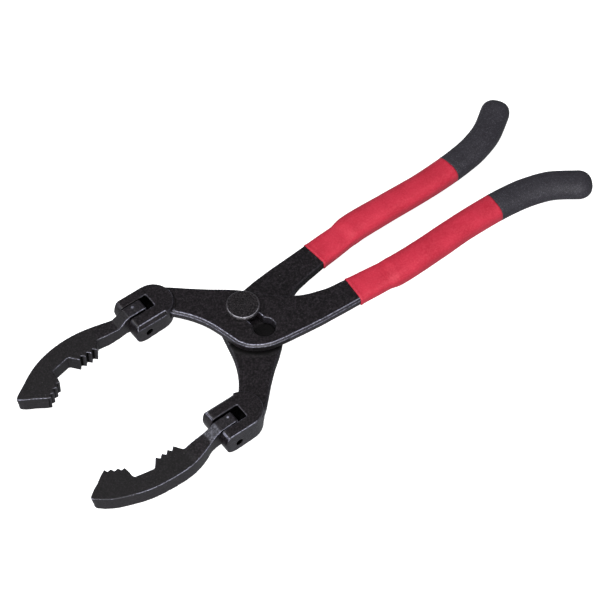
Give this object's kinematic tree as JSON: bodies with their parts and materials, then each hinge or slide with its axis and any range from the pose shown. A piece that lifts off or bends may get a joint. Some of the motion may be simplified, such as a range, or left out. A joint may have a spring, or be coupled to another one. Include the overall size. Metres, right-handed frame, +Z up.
{
  "type": "oil filter wrench",
  "caption": "Slip-joint plier-style oil filter wrench with toothed jaws that swivel in forked levers, and curved dipped grips.",
  "frame": {"origin": "middle of the flat top of the pivot pin's head", "axes": "+X along the tool from the jaws to the handle ends, +Y across the tool to the upper lever's fork, +Z up out of the pivot pin's head"},
  "size_m": [0.3984, 0.1225, 0.0293],
  "materials": {
    "black_steel": "matte black oxide, fine speckle",
    "pin_steel": "satin black oxide with bright worn edges",
    "red_vinyl": "satin dipped vinyl with fine grain",
    "black_vinyl": "matte speckled vinyl"
  },
  "bodies": {
    "lower_lever": {"lever_lower": "black_steel", "jaw_pin_lower": "pin_steel", "grip_lower": "red_vinyl", "grip_tip_lower": "black_vinyl"},
    "pivot": {"pivot_pin": "pin_steel", "pivot_collar": "pin_steel"},
    "upper_lever": {"lever_upper": "black_steel", "jaw_pin_upper": "pin_steel", "grip_upper": "red_vinyl", "grip_tip_upper": "black_vinyl"},
    "lower_jaw": {"jaw_lower": "black_steel"},
    "upper_jaw": {"jaw_upper": "black_steel"}
  },
  "joints": [
    {"name": "pliers_pivot", "type": "hinge", "parent": "lower_lever", "child": "pivot", "pos_m": [0, 0, -0.01025], "axis": [0, 0, -1], "range_deg": [-2, 45]},
    {"name": "slip_slot", "type": "slide", "parent": "pivot", "child": "upper_lever", "axis": [-0.0932, 0.9956, 0], "range_m": [0, 0.02039]},
    {"name": "upper_jaw_swivel", "type": "hinge", "parent": "upper_lever", "child": "upper_jaw", "pos_m": [-0.056, 0.0367, -0.0096], "axis": [0, 1, 0], "range_deg": [-90, 90]},
    {"name": "lower_jaw_swivel", "type": "hinge", "parent": "lower_lever", "child": "lower_jaw", "pos_m": [-0.056, -0.0596, -0.0181], "axis": [0, 1, 0], "range_deg": [-87.1, 92.9]}
  ]
}
